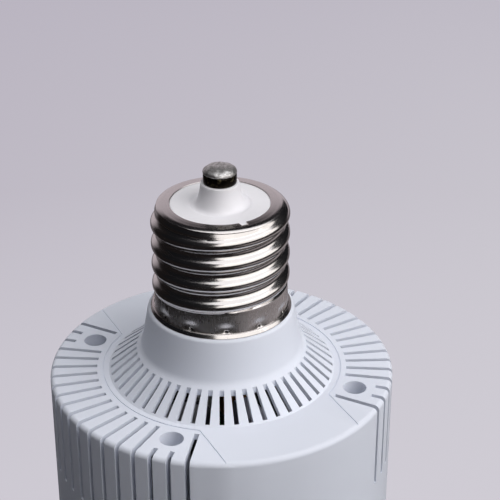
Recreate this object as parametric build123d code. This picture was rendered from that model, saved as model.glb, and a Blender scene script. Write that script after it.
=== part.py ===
from build123d import *
from math import acos, cos, degrees, radians, sin, sqrt, tan
import os

# A high-power LED corn lamp, standing on its end cover with its mogul screw base up.
# Millimetres. +Z runs up the lamp's axis and the origin is the middle of the end cover's flat face.

# Heights up the axis
end_cover_height = 8.0
column_length = 142.0
housing_depth = 50.0
neck_height = 20.3
shell_height = 32.35
column_z = end_cover_height
housing_z = column_z + column_length
flange_z = housing_z + housing_depth
shoulder_z = flange_z + neck_height
rim_z = shoulder_z + shell_height

# Driver housing, one moulding: neck, slotted cone, slotted flange, skirt and screw bosses
housing_radius = 50.0
housing_wall = 2.0
skirt_wall = 2.45
edge_round = 1.5
neck_radius = 20.95
neck_draft = 10.5
neck_round = 1.1
cone_foot_radius = 33.0
cone_angle = 38.8
cone_round = 3.0
spigot_clearance = 0.1
spigot_height = 6.4
spigot_wall = 2.0

# Air slots of the cone and of the flange
cone_slots = 50
cone_slot_width = 1.35
cone_slot_start = 24.7
cone_slot_end = 32.45
flange_slot_width = 1.4
flange_slot_gap = 3.45
flange_slot_start = cone_foot_radius + flange_slot_gap
flange_slot_step = 6.0
flange_slots_aside = 9
skirt_slot_drop = 26.0
seam_offset = 20.15
seam_gap = 1.7
seam_radius = cone_foot_radius + seam_gap
seam_width = 0.4
seam_depth = 0.3

# Long screws that hold the housing to the mounting plate
screw_count = 4
screw_inset = 9.6
screw_circle = housing_radius - screw_inset
boss_radius = 5.0
boss_bore = 3.35
boss_floor = 4.0
boss_slot_gap = 0.45
housing_screw_radius = 1.6
housing_screw_head = 3.0
housing_screw_head_height = 2.4
running_clearance = 0.05

# Mounting plate between the housing and the LED column
plate_thickness = 3.0
plate_ledge = 0.9
plate_clearance = 0.15
plate_wire_hole = 7.0

# Mogul screw shell: a rolled round thread on a thin sheet
thread_pitch = 6.35
crest_radius = 19.6
root_radius = 17.85
sheet = 0.35
crest_flat = 0.4
crest_shoulder = 0.45
crest_shoulder_z = 1.3
thread_foot_z = 2.45
thread_turns = 4.12
thread_start_angle = 22.0
thread_start_rise = 5.2
thread_fade_round = 5.0
rim_inner_radius = 14.05
rim_flat_radius = 16.1
rim_roll = 2.2
skirt_top_radius = 18.95
skirt_bottom_radius = 19.25
skirt_rise = 7.8
lip_radius = 20.2
lip_thickness = 0.45
punch_count = 12
punch_phase = 9.0
punch_width = 0.8
punch_depth = 0.25
punch_rise = 1.5
rim_notch_width = 1.9
rim_notch_length = 1.65

# White insulator that the shell is rolled over, with its contact nose
insulator_gap = 0.05
insulator_depth = 6.6
nose_height = 6.3
nose_top_radius = 5.4
nose_base_radius = 6.35
moat_inner_radius = 6.9
moat_outer_radius = 8.85
moat_depth = 0.5
key_clearance = 0.12

# Centre contact: a brass eyelet under a domed solder cap
eyelet_radius = 4.7
eyelet_height = 2.9
stem_radius = 1.5
stem_clearance = 0.1
stem_tail = 1.0
cap_radius = 4.77
cap_edge = 0.35
cap_rise = 1.7

# LED boards and their chips
strip_width = 17.0
strip_margin = 0.3
strip_thickness = 1.6
chip_count = 14
chip_width = 5.7
chip_height = 3.0
chip_thickness = 0.9
chip_end_margin = 7.65
chip_pitch = (column_length - 2 * strip_margin - 2 * chip_end_margin) / (chip_count - 1)

# LED column: an extruded heat sink with twelve channels that the LED boards slide into
sides = 12
end_cover_radius = 46.5
cover_overhang = 0.43
rail_lip = 0.8
rail_overlap = 0.7
channel_gap = 0.1
rail_outer = (end_cover_radius - cover_overhang) * cos(radians(180 / sides))
board_seat = rail_outer - rail_lip - channel_gap - strip_thickness
column_wall = 2.2
fin_thickness = 1.6
hub_radius = 9.0
hub_bore = 5.5
port_count = 4
port_inset = 10.4
port_circle = screw_circle - port_inset
port_radius = 3.2
port_bore = 1.35
column_screw_radius = 1.3
column_screw_head = 2.75
column_screw_head_height = 2.0
column_screw_grip = 12.0

# End of the column: round LED board and its opal cover
end_cover_wall = 2.0
end_cover_rim = 4.2
end_board_gap = 5.3
end_board_radius = end_cover_radius - end_cover_rim - end_board_gap
end_chip_counts = (6, 12)
end_chip_radii = (11.0, 22.5)
end_cover_chamfer = 1.2
end_boss_radius = 4.2
end_screw_recess = 0.6
end_screw_depth = 6.0

# Driver board on its spacers, inside the housing
spacer_height = 8.0
spacer_width = 5.5
spacer_circle = 34.0
spacer_count = 4
driver_board_inset = 7.0
driver_board_radius = housing_radius - driver_board_inset
driver_board_thickness = 1.6
boss_notch_gap = 0.7
board_screw_head = 2.75
board_screw_head_height = 2.0
board_screw_radius = 1.3

# Driver parts: places across the board and sizes
transformer_at = (21.5, -4.0)
transformer_core_size = (27.0, 12.0, 22.0)
transformer_limb = 6.0
transformer_coil_size = (14.6, 19.0, 15.0)
transformer_pins = 1.6
capacitor_places = ((-10.0, 16.5), (-14.0, -3.5))
capacitor_radius = 8.5
capacitor_height = 26.0
capacitor_chamfer = 1.0
film_capacitor_at = (7.5, -5.0)
film_capacitor_size = (6.0, 14.0, 22.0)
input_choke_at = (-8.0, -24.0)
input_choke_radius = 8.0
input_choke_bore = 3.5
input_choke_height = 9.0
output_choke_at = (16.0, 24.0)
output_choke_radius = 5.5
output_choke_height = 13.0
rectifier_at = (-28.5, -5.0)
rectifier_size = (4.5, 15.0, 11.0)
varistor_at = (-22.5, -18.5)
varistor_radius = 5.5
varistor_thickness = 4.0
fuse_at = (14.0, -27.0)
fuse_radius = 2.6
fuse_length = 12.0
heat_plate_at = (-28.0, 13.0)
heat_plate_size = (1.6, 20.0, 19.0)
heat_plate_foot = 7.0
transistor_size = (4.4, 10.0, 15.0)
connector_at = (3.0, 26.0)
connector_size = (12.0, 6.5, 11.0)

# Leads that the lamp holds from end to end
lead_radius = 0.9
lead_seat_gap = 0.3
lead_end_gap = 0.2
neutral_joint_rise = 4.5
neutral_neck_gap = 1.0
output_lead_spacing = 3.8


def ring_angles(count, first=0.0):
    """Angles in degrees of count places evenly round the axis."""
    return [first + index * 360.0 / count for index in range(count)]


def at_polar(radius, angle, z=0.0):
    """Location at a radius and angle, turned so that its X axis points outwards."""
    return Location((radius * cos(radians(angle)), radius * sin(radians(angle)), z), (0, 0, angle))


def turned(points, rounds=()):
    """Solid of revolution about Z from (radius, z) points, with some corners rounded."""
    outline = Face(Wire.make_polygon([(radius, 0, z) for radius, z in points], close=True))
    for corner, size in rounds:
        place = Vector(corner[0], 0, corner[1])
        nearest = min(outline.vertices(), key=lambda vertex: (Vector(*vertex) - place).length)
        outline = outline.fillet_2d(size, [nearest])
    return revolve(outline, Axis.Z)


def post(radius, low, high):
    """Upright cylinder on the axis between two heights."""
    return Pos(0, 0, low) * Cylinder(radius, high - low, align=(Align.CENTER, Align.CENTER, Align.MIN))


def block(size, z=0.0):
    """Box centred on the axis, standing on height z."""
    return Pos(0, 0, z) * Box(*size, align=(Align.CENTER, Align.CENTER, Align.MIN))


def pan_screw(head_radius, head_height, shank_radius, grip):
    """Screw with its seat at the origin, head up and shank down."""
    return post(head_radius, 0, head_height) + post(shank_radius, -grip, 0)


def neck_line(z):
    """Outer radius of the drafted neck at a height."""
    return neck_radius + (shoulder_z - z) * tan(radians(neck_draft))


def cone_line(radius):
    """Height of the slotted cone's outer face at a radius."""
    return flange_z + (cone_foot_radius - radius) * tan(radians(cone_angle))


def neck_meets_cone(inset, drop):
    """Corner where the neck moved in by inset meets the cone moved down by drop."""
    slope = tan(radians(cone_angle))
    lean = tan(radians(neck_draft))
    height_over_foot = (cone_foot_radius - neck_radius + inset - (shoulder_z - flange_z) * lean) * slope - drop
    z = flange_z + height_over_foot / (1 - slope * lean)
    return neck_line(z) - inset, z


def flange_slot_begin(angle):
    """Inner end of a flange slot: short where a screw boss stands in its way."""
    nearest_boss = 45.0
    clear = screw_circle * abs(sin(radians(abs(angle) - nearest_boss)))
    if clear < boss_radius + flange_slot_width / 2:
        return screw_circle + boss_radius + boss_slot_gap
    return flange_slot_start


def cut_cone_slots(body):
    length = cone_slot_end - cone_slot_start
    middle = (cone_slot_start + cone_slot_end) / 2
    slot = block((length, cone_slot_width, 2 * neck_height), flange_z - neck_height)
    return body - [at_polar(middle, angle) * slot for angle in ring_angles(cone_slots)]


def cut_flange_slots(body):
    cutters = []
    over_edge = housing_radius + housing_wall
    for step in range(-flange_slots_aside, flange_slots_aside + 1):
        angle = step * flange_slot_step
        begin = flange_slot_begin(angle)
        tall = skirt_slot_drop + housing_wall
        slot = block((over_edge - begin, flange_slot_width, tall), flange_z - skirt_slot_drop)
        for side in (0.0, 180.0):
            cutters.append(at_polar((begin + over_edge) / 2, angle + side) * slot)
    return body - cutters


def cut_seams(body):
    """Fine moulded lines that border the two slotted fields of the flange."""
    low = flange_z - seam_depth
    half = seam_width / 2
    high = flange_z + seam_depth
    ring = post(seam_radius + half, low, high) - post(seam_radius - half, low, high)
    plain_band = block((2 * seam_offset, 2 * housing_radius, 2 * seam_depth), low)
    length = housing_radius - sqrt(seam_radius**2 - seam_offset**2)
    line = block((seam_width, length, 2 * seam_depth), low)
    lines = [
        Pos(side * seam_offset, end * (housing_radius - length / 2), 0) * line
        for side in (-1, 1)
        for end in (-1, 1)
    ]
    return body - (ring - plain_band) - lines


def make_upper_housing():
    inner_radius = housing_radius - skirt_wall
    ledge_radius = inner_radius + plate_ledge
    plate_top = housing_z + plate_thickness
    spigot_radius = skirt_inner_radius() - spigot_clearance
    spigot_top = shoulder_z + spigot_height
    bore = spigot_bore()
    wall_drop = housing_wall
    outer_corner = neck_meets_cone(0.0, 0.0)
    inner_corner = neck_meets_cone(housing_wall, wall_drop)
    inner_neck_z = shoulder_z - 1.5 * housing_wall
    inner_foot = cone_foot_radius
    points = [
        (bore, spigot_top),
        (spigot_radius, spigot_top),
        (spigot_radius, shoulder_z),
        (neck_radius, shoulder_z),
        outer_corner,
        (cone_foot_radius, flange_z),
        (housing_radius, flange_z),
        (housing_radius, housing_z),
        (ledge_radius, housing_z),
        (ledge_radius, plate_top),
        (inner_radius, plate_top),
        (inner_radius, flange_z - housing_wall),
        (inner_foot, flange_z - housing_wall),
        inner_corner,
        (neck_line(inner_neck_z) - housing_wall, inner_neck_z),
        (bore, shoulder_z),
    ]
    rounds = [
        ((neck_radius, shoulder_z), neck_round),
        (outer_corner, cone_round),
        ((housing_radius, flange_z), edge_round),
    ]
    body = turned(points, rounds)
    body = cut_seams(cut_flange_slots(cut_cone_slots(body)))
    boss_top = flange_z - housing_wall / 2
    web_end = inner_radius + skirt_wall / 2
    web = block((web_end - screw_circle, housing_wall, boss_top - plate_top), plate_top)
    for angle in ring_angles(screw_count, 360 / screw_count / 2):
        body += at_polar(screw_circle, angle) * post(boss_radius, plate_top, boss_top)
        body += at_polar((screw_circle + web_end) / 2, angle) * web
    for angle in ring_angles(screw_count, 360 / screw_count / 2):
        place = at_polar(screw_circle, angle)
        body -= place * post(boss_bore, plate_top + boss_floor, flange_z + housing_wall)
        body -= place * post(housing_screw_radius + running_clearance, plate_top, plate_top + boss_floor)
    return body


def make_housing_screws():
    seat = housing_z + plate_thickness + boss_floor
    grip = boss_floor + plate_thickness
    screw = pan_screw(housing_screw_head, housing_screw_head_height, housing_screw_radius, grip)
    angles = ring_angles(screw_count, 360 / screw_count / 2)
    return Compound(children=[at_polar(screw_circle, angle, seat) * screw for angle in angles])


def port_angles():
    """The heat sink's screw ports stand on four of its fins."""
    return ring_angles(port_count, 3 * 180 / sides)


def make_mounting_plate():
    radius = housing_radius - skirt_wall + plate_ledge - plate_clearance
    top = housing_z + plate_thickness
    plate = post(radius, housing_z, top) - post(plate_wire_hole, housing_z, top)
    for angle in ring_angles(screw_count, 360 / screw_count / 2):
        hole = post(housing_screw_radius + running_clearance, housing_z, top)
        plate -= at_polar(screw_circle, angle) * hole
    for angle in port_angles():
        plate -= at_polar(port_circle, angle) * post(column_screw_radius + running_clearance, housing_z, top)
    return plate


def make_column_screws():
    grip = plate_thickness + column_screw_grip
    screw = pan_screw(column_screw_head, column_screw_head_height, column_screw_radius, grip)
    seat = housing_z + plate_thickness
    return Compound(children=[at_polar(port_circle, angle, seat) * screw for angle in port_angles()])


def skirt_inner_radius():
    return skirt_top_radius - sheet


def spigot_bore():
    return skirt_inner_radius() - spigot_clearance - spigot_wall


def thread_ridge():
    """Ridge of the round thread, swept up a right-handed helix about the shell."""
    foot_radius = root_radius - 2 * sheet
    half_outline = [
        (foot_radius, thread_foot_z),
        (root_radius - sheet / 10, thread_foot_z),
        (crest_radius - crest_shoulder, crest_shoulder_z),
        (crest_radius, crest_flat),
    ]
    outline = half_outline + [(radius, -rise) for radius, rise in reversed(half_outline)]
    section = Face(Wire.make_polygon([(radius, 0, rise) for radius, rise in outline], close=True))
    path = Helix(pitch=thread_pitch, height=thread_pitch * thread_turns, radius=crest_radius)
    ridge = sweep(section, path=path, is_frenet=True)
    return Pos(0, 0, shoulder_z + thread_start_rise) * Rot(0, 0, thread_start_angle) * ridge


def make_threaded_wall(skirt_top):
    """Root cylinder with the ridge, cut flat over the skirt and rounded off under the rim."""
    core = rim_inner_radius
    low = skirt_top - 2 * thread_foot_z
    high = rim_z - sheet
    root = post(root_radius, low, high) - post(core, low, high)
    widest = crest_radius + 4 * sheet
    envelope = turned(
        [(0, skirt_top), (widest, skirt_top), (widest, high), (0, high)],
        [((widest, high), thread_fade_round)],
    )
    return (root + thread_ridge()) & envelope


def make_screw_shell():
    core = rim_inner_radius
    bore = root_radius - sheet
    skirt_top = shoulder_z + skirt_rise
    lip_top = shoulder_z + lip_thickness
    roll_radius = rim_flat_radius + rim_roll
    roll_low = rim_z - rim_roll - sheet / 2
    roll = turned(
        [
            (core, roll_low),
            (roll_radius, roll_low),
            (roll_radius, rim_z),
            (core, rim_z),
        ],
        [((roll_radius, rim_z), rim_roll)],
    )
    skirt = turned(
        [
            (core, shoulder_z),
            (lip_radius, shoulder_z),
            (lip_radius, lip_top),
            (skirt_bottom_radius, lip_top + sheet),
            (skirt_top_radius, skirt_top),
            (core, skirt_top),
        ]
    )
    hollow = turned(
        [
            (0, shoulder_z - sheet),
            (skirt_inner_radius(), shoulder_z - sheet),
            (skirt_inner_radius(), skirt_top - sheet),
            (bore, skirt_top - sheet),
            (bore, roll_low + sheet),
            (roll_radius - sheet, roll_low + sheet),
            (roll_radius - rim_roll / 2, rim_z - rim_roll / 2),
            (rim_flat_radius, rim_z - sheet),
            (0, rim_z - sheet),
        ]
    )
    shell = make_threaded_wall(skirt_top) + roll + skirt - hollow
    punch_z = shoulder_z + punch_rise
    for angle in ring_angles(punch_count, punch_phase):
        pit = Rot(45, 0, 0) * Box(2 * punch_depth, punch_width, punch_width)
        shell -= at_polar(skirt_bottom_radius, angle, punch_z) * pit
    notch = block((2 * rim_notch_length, rim_notch_width, 2 * sheet), rim_z - sheet)
    return shell - at_polar(rim_inner_radius, -90.0) * notch


def make_base_insulator():
    seat_z = rim_z - sheet
    side = root_radius - sheet - insulator_gap * 5
    face_radius = rim_inner_radius - insulator_gap
    face_z = rim_z - insulator_gap
    low_z = seat_z - insulator_depth
    nose_z = face_z + nose_height
    bore = stem_radius + stem_clearance
    chamfer = rim_roll - sheet
    points = [
        (bore, low_z),
        (side, low_z),
        (side, seat_z - chamfer),
        (rim_flat_radius, seat_z),
        (face_radius, seat_z),
        (face_radius, face_z),
        (moat_outer_radius, face_z),
        (moat_outer_radius - moat_depth, face_z - moat_depth),
        (moat_inner_radius, face_z - moat_depth),
        (nose_base_radius, face_z + moat_depth),
        (nose_top_radius, nose_z),
        (bore, nose_z),
    ]
    body = turned(points)
    reach = rim_notch_length - key_clearance
    key_width = rim_notch_width - 2 * key_clearance
    key = block((2 * reach, key_width, face_z - seat_z), seat_z)
    return body + at_polar(rim_inner_radius, -90.0) * key


def contact_seat_z():
    return rim_z - insulator_gap + nose_height


def make_contact_eyelet():
    seat = contact_seat_z()
    tail_z = rim_z - sheet - insulator_depth - stem_tail
    return post(eyelet_radius, seat, seat + eyelet_height) + post(stem_radius, tail_z, seat)


def make_solder_cap():
    low = contact_seat_z() + eyelet_height
    top = low + cap_edge + cap_rise
    dome_radius = (cap_radius**2 + cap_rise**2) / (2 * cap_rise)
    dome = Pos(0, 0, top - dome_radius) * Sphere(dome_radius)
    return post(cap_radius, low, top) & dome


def make_heat_sink():
    turn = 180 / sides
    inner_corner = (board_seat - column_wall) / cos(radians(turn))
    section = Rot(0, 0, turn) * RegularPolygon(rail_outer / cos(radians(turn)), sides)
    section -= Rot(0, 0, turn) * RegularPolygon(inner_corner, sides)
    deep = strip_thickness + channel_gap
    channel = Pos(board_seat + deep / 2, 0) * Rectangle(deep, strip_width + 2 * channel_gap)
    mouth = Pos(rail_outer, 0) * Rectangle(2 * (rail_outer - board_seat), strip_width - 2 * rail_overlap)
    fin_start = (hub_radius + hub_bore) / 2
    fin_length = inner_corner + column_wall / 2 - fin_start
    fin = Pos(fin_start + fin_length / 2, 0) * Rectangle(fin_length, fin_thickness)
    for angle in ring_angles(sides):
        section -= Rot(0, 0, angle) * channel
        section -= Rot(0, 0, angle) * mouth
    for angle in ring_angles(sides, turn):
        section += Rot(0, 0, angle) * fin
    section += Circle(hub_radius)
    section -= Circle(hub_bore)
    for angle in port_angles():
        place = at_polar(port_circle, angle)
        section += place * Circle(port_radius)
        section -= place * Circle(port_bore)
    return Pos(0, 0, column_z) * extrude(section, column_length)


def make_led_board(angle):
    length = column_length - 2 * strip_margin
    middle = board_seat + strip_thickness / 2
    return at_polar(middle, angle) * block((strip_thickness, strip_width, length), column_z + strip_margin)


def make_led_chips(angle):
    middle = board_seat + strip_thickness + chip_thickness / 2
    centre_z = column_z + column_length / 2
    chips = []
    for index in range(chip_count):
        z = centre_z + (index - (chip_count - 1) / 2) * chip_pitch
        chips.append(at_polar(middle, angle, z) * Box(chip_thickness, chip_width, chip_height))
    return Compound(children=chips)


def make_end_board():
    low = column_z - strip_thickness
    board = post(end_board_radius, low, column_z)
    for angle in port_angles():
        board -= at_polar(port_circle, angle) * post(column_screw_radius + running_clearance, low, column_z)
    return board


def make_end_chips():
    z = column_z - strip_thickness - chip_thickness / 2
    chip = Box(chip_height, chip_width, chip_thickness)
    chips = [
        at_polar(radius, angle, z) * chip
        for radius, count in zip(end_chip_radii, end_chip_counts)
        for angle in ring_angles(count)
    ]
    return Compound(children=chips)


def make_end_cover():
    under_board = column_z - strip_thickness
    points = [
        (0, 0),
        (end_cover_radius - end_cover_chamfer, 0),
        (end_cover_radius, end_cover_chamfer),
        (end_cover_radius, column_z),
        (end_cover_radius - end_cover_rim, column_z),
        (end_cover_radius - end_cover_rim, end_cover_wall),
        (0, end_cover_wall),
    ]
    cover = turned(points)
    recess = end_screw_recess + column_screw_head_height
    for angle in port_angles():
        cover += at_polar(port_circle, angle) * post(end_boss_radius, end_cover_wall / 2, under_board)
    for angle in port_angles():
        place = at_polar(port_circle, angle)
        cover -= place * post(column_screw_head + running_clearance * 4, 0, recess)
        cover -= place * post(column_screw_radius + running_clearance, 0, under_board)
    return cover


def make_end_screws():
    seat = end_screw_recess + column_screw_head_height
    grip = column_z - seat + end_screw_depth
    screw = pan_screw(column_screw_head, column_screw_head_height, column_screw_radius, grip)
    upside_down = Rot(180, 0, 0) * screw
    return Compound(children=[at_polar(port_circle, angle, seat) * upside_down for angle in port_angles()])


# The driver board lies on spacers over the mounting plate.
spacer_z = housing_z + plate_thickness
board_z = spacer_z + spacer_height
parts_z = board_z + driver_board_thickness


def make_board_spacers():
    hexagon = RegularPolygon(spacer_width / 2, 6, major_radius=False)
    spacer = Pos(0, 0, spacer_z) * extrude(hexagon, spacer_height)
    spacer -= post(board_screw_radius + running_clearance, spacer_z + spacer_height / 2, board_z)
    return Compound(children=[at_polar(spacer_circle, angle) * spacer for angle in ring_angles(spacer_count)])


def make_board_screws():
    grip = driver_board_thickness + spacer_height / 2 - running_clearance
    screw = pan_screw(board_screw_head, board_screw_head_height, board_screw_radius, grip)
    return Compound(
        children=[at_polar(spacer_circle, angle, parts_z) * screw for angle in ring_angles(spacer_count)]
    )


def make_driver_board():
    board = post(driver_board_radius, board_z, parts_z)
    for angle in ring_angles(screw_count, 360 / screw_count / 2):
        board -= at_polar(screw_circle, angle) * post(boss_radius + boss_notch_gap, board_z, parts_z)
    for angle in ring_angles(spacer_count):
        board -= at_polar(spacer_circle, angle) * post(board_screw_radius + running_clearance, board_z, parts_z)
    return board


def on_board(place, piece):
    """Piece standing on the driver board at an (x, y) place."""
    return Pos(place[0], place[1], parts_z) * piece


def make_transformer_core():
    width, depth, height = transformer_core_size
    core = block(transformer_core_size, transformer_pins)
    window = (width - 3 * transformer_limb) / 2
    opening_z = transformer_pins + transformer_limb / 2
    opening = block((window, depth, height - transformer_limb), opening_z)
    offset = (transformer_limb + window) / 2
    core -= [Pos(-offset, 0, 0) * opening, Pos(offset, 0, 0) * opening]
    return on_board(transformer_at, Rot(0, 0, 90) * core)


def make_transformer_coil():
    width, depth, height = transformer_core_size
    coil_width, coil_depth, coil_height = transformer_coil_size
    coil_z = transformer_pins + (height - coil_height) / 2
    coil = block(transformer_coil_size, coil_z)
    coil -= block((transformer_limb, depth, height), transformer_pins)
    foot = block((coil_width, coil_depth, coil_z))
    foot -= block((width, depth, height), transformer_pins)
    return on_board(transformer_at, Rot(0, 0, 90) * (coil + foot))


def make_bulk_capacitor(place):
    shoulder = capacitor_height - capacitor_chamfer
    points = [
        (0, 0),
        (capacitor_radius, 0),
        (capacitor_radius, shoulder),
        (capacitor_radius - capacitor_chamfer, capacitor_height),
        (0, capacitor_height),
    ]
    return on_board(place, turned(points))


def make_input_choke():
    ring = post(input_choke_radius, 0, input_choke_height) - post(input_choke_bore, 0, input_choke_height)
    return on_board(input_choke_at, ring)


def make_output_choke():
    return on_board(output_choke_at, post(output_choke_radius, 0, output_choke_height))


def make_varistor():
    disc = Rot(0, 90, 0) * post(varistor_radius, -varistor_thickness / 2, varistor_thickness / 2)
    return on_board(varistor_at, Pos(0, 0, varistor_radius) * disc)


def make_fuse():
    tube = Rot(0, 90, 0) * post(fuse_radius, -fuse_length / 2, fuse_length / 2)
    return on_board(fuse_at, Pos(0, 0, fuse_radius) * tube)


def make_transistor_heat_sink():
    thickness, length, height = heat_plate_size
    plate = block(heat_plate_size)
    foot = Pos(heat_plate_foot / 2 - thickness / 2, 0, 0) * block((heat_plate_foot, length, thickness))
    return on_board(heat_plate_at, plate + foot)


def make_power_transistor():
    offset = (heat_plate_size[0] + transistor_size[0]) / 2
    body = Pos(-offset, 0, 0) * block(transistor_size)
    return on_board(heat_plate_at, body)


def make_lead(points):
    """Lead of straight runs joined by arcs as large as the runs allow."""
    route = [Vector(*point) for point in points]
    radii = []
    for before, corner, after in zip(route, route[1:], route[2:]):
        turn = (corner - before).get_angle(after - corner)
        shorter = min((corner - before).length, (after - corner).length)
        radii.append(0.45 * shorter / tan(radians(turn / 2)))
    path = FilletPolyline(*route, radius=radii)
    section = Plane(origin=path @ 0, z_dir=path % 0) * Circle(lead_radius)
    return sweep(section, path=path)


def make_live_lead():
    stem_end = rim_z - sheet - insulator_depth - stem_tail
    route = [
        (0, 0, stem_end - lead_end_gap),
        (0.5, -1.5, flange_z + neck_height / 2),
        (-1.5, -8.5, parts_z + lead_end_gap),
    ]
    return make_lead(route)


def make_neutral_lead():
    start_radius = root_radius - sheet - lead_radius - lead_seat_gap
    route = [
        (0, start_radius, shoulder_z + skirt_rise + neutral_joint_rise),
        (0.8, spigot_bore() - lead_radius - neutral_neck_gap, shoulder_z),
        (5.0, 14.0, parts_z + lead_end_gap),
    ]
    return make_lead(route)


def make_output_leads():
    lead = post(lead_radius, column_z, board_z)
    offset = output_lead_spacing / 2
    return Compound(children=[Pos(-offset, 0, 0) * lead, Pos(offset, 0, 0) * lead])


def all_nodes():
    nodes = {
        "screw_shell": make_screw_shell(),
        "base_insulator": make_base_insulator(),
        "contact_eyelet": make_contact_eyelet(),
        "solder_cap": make_solder_cap(),
        "upper_housing": make_upper_housing(),
        "housing_screws": make_housing_screws(),
        "mounting_plate": make_mounting_plate(),
        "column_screws": make_column_screws(),
        "board_spacers": make_board_spacers(),
        "board_screws": make_board_screws(),
        "driver_board": make_driver_board(),
        "transformer_core": make_transformer_core(),
        "transformer_coil": make_transformer_coil(),
        "film_capacitor": on_board(film_capacitor_at, block(film_capacitor_size)),
        "input_choke": make_input_choke(),
        "output_choke": make_output_choke(),
        "bridge_rectifier": on_board(rectifier_at, block(rectifier_size)),
        "varistor": make_varistor(),
        "fuse": make_fuse(),
        "transistor_heat_sink": make_transistor_heat_sink(),
        "power_transistor": make_power_transistor(),
        "lead_connector": on_board(connector_at, block(connector_size)),
        "live_lead": make_live_lead(),
        "neutral_lead": make_neutral_lead(),
        "output_leads": make_output_leads(),
        "heat_sink": make_heat_sink(),
        "end_board": make_end_board(),
        "end_chips": make_end_chips(),
        "end_cover": make_end_cover(),
        "end_screws": make_end_screws(),
    }
    for index, place in enumerate(capacitor_places, 1):
        nodes[f"bulk_capacitor_{index}"] = make_bulk_capacitor(place)
    for index, angle in enumerate(ring_angles(sides), 1):
        nodes[f"led_board_{index:02d}"] = make_led_board(angle)
        nodes[f"led_chips_{index:02d}"] = make_led_chips(angle)
    return nodes


os.makedirs("parts", exist_ok=True)
for name, piece in all_nodes().items():
    export_step(piece, f"parts/{name}.step")
print("sub-parts written:", len(os.listdir("parts")))
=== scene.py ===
# %% [markdown]
# An LED corn lamp, standing on its flat end with its large screw base up.
#
# The construction of the lamp comes packed, piece by piece and at its real size. This lesson dresses it:
# it rolls the metal screw shell, turns the white insulator and the contact, fits the light chips and the
# driver's parts, gives every surface a procedural finish, and sets up a plain studio.

# %% Load the frame
import math

import bpy
from mathutils import Matrix, Vector


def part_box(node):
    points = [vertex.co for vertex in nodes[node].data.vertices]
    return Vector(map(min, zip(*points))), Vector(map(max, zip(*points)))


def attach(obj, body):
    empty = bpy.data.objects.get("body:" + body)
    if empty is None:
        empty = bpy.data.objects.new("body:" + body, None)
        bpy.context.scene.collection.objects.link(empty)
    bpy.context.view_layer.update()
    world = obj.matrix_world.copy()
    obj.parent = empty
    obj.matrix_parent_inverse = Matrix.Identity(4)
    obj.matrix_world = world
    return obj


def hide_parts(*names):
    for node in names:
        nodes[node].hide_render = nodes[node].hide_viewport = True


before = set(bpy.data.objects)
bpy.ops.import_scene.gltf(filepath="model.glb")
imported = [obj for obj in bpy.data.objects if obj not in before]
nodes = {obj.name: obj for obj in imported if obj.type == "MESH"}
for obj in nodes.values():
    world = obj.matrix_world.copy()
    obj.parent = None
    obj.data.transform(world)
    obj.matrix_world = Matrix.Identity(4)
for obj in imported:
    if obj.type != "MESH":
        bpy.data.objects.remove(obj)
bpy.context.scene.view_settings.view_transform = "Standard"
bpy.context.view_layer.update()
MM = 0.001

# %% [markdown]
# The heights that matter come from the frame itself. The shell's box gives the lip that it stands on and
# the rim that it ends in. Only the flange's height is written here, because no box ends on it.

# %% Heights of the lamp
shell_low, shell_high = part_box("screw_shell")
lip_z = shell_low.z / MM
rim_z = shell_high.z / MM
flange_z = lip_z - 20.3
print("lip, rim and flange in mm:", round(lip_z, 2), round(rim_z, 2), round(flange_z, 2))

# %% [markdown]
# The camera stands about half a metre off, a little above the lamp, and looks 28 degrees down. Its lens is
# long, so the base's circles stay close to true ellipses. A constraint could aim it at an object, but a
# direction kept as a vector needs no other object. Blender turns it into an orientation: a camera looks
# along its own -Z with +Y up.

# %% Camera
camera_place = Vector((-157.9, -338.4, 435.98)) * MM
camera_direction = Vector((0.3911, 0.7918, -0.4692))
lens_mm = 108.0

bpy.ops.object.camera_add(location=camera_place)
camera = bpy.context.object
camera.name = "studio_camera"
camera.rotation_euler = camera_direction.to_track_quat("-Z", "Y").to_euler()
camera.data.lens = lens_mm
camera.data.sensor_width = 36.0
bpy.context.scene.camera = camera
print("camera to rim in mm:", round((camera_place - Vector((0, 0, shell_high.z))).length / MM))

# %% [markdown]
# A few small helpers keep the modelling short. Edit-mode operators act on all that is selected, and the
# imported nodes arrive selected, so every piece starts by deselecting everything. A piece is always left
# with its place in its mesh and its object at the origin, like the nodes.

# %% Modelling helpers
def start_clean():
    if bpy.context.object and bpy.context.object.mode != "OBJECT":
        bpy.ops.object.mode_set(mode="OBJECT")
    bpy.ops.object.select_all(action="DESELECT")


def pick(piece):
    """Makes a piece the only one selected, and the active one."""
    start_clean()
    piece.select_set(True)
    bpy.context.view_layer.objects.active = piece


def edit_all():
    """Opens the active piece in edit mode with everything selected."""
    bpy.ops.object.mode_set(mode="EDIT")
    bpy.ops.mesh.select_all(action="SELECT")


def named(piece, name):
    piece.name = name
    piece.data.name = name
    return piece


def settle(piece):
    """Moves the object's place and turn into its mesh."""
    pick(piece)
    bpy.ops.object.transform_apply(location=True, rotation=True, scale=True)


def apply_modifiers(piece):
    pick(piece)
    for modifier in list(piece.modifiers):
        bpy.ops.object.modifier_apply(modifier=modifier.name)
    return piece


def smooth(piece, degrees=35):
    """Smooth shading with the real edges kept sharp."""
    pick(piece)
    bpy.ops.object.shade_smooth_by_angle(angle=math.radians(degrees))
    return piece


def join(pieces, name):
    start_clean()
    for piece in pieces:
        piece.select_set(True)
    bpy.context.view_layer.objects.active = pieces[0]
    if len(pieces) > 1:
        bpy.ops.object.join()
    return named(pieces[0], name)


def copy_at(piece, matrix):
    """A copy with its own mesh, moved by a matrix."""
    copy = piece.copy()
    copy.data = piece.data.copy()
    bpy.context.scene.collection.objects.link(copy)
    copy.data.transform(matrix)
    return copy


def turn_about_axis(degrees):
    return Matrix.Rotation(math.radians(degrees), 4, "Z")


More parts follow.
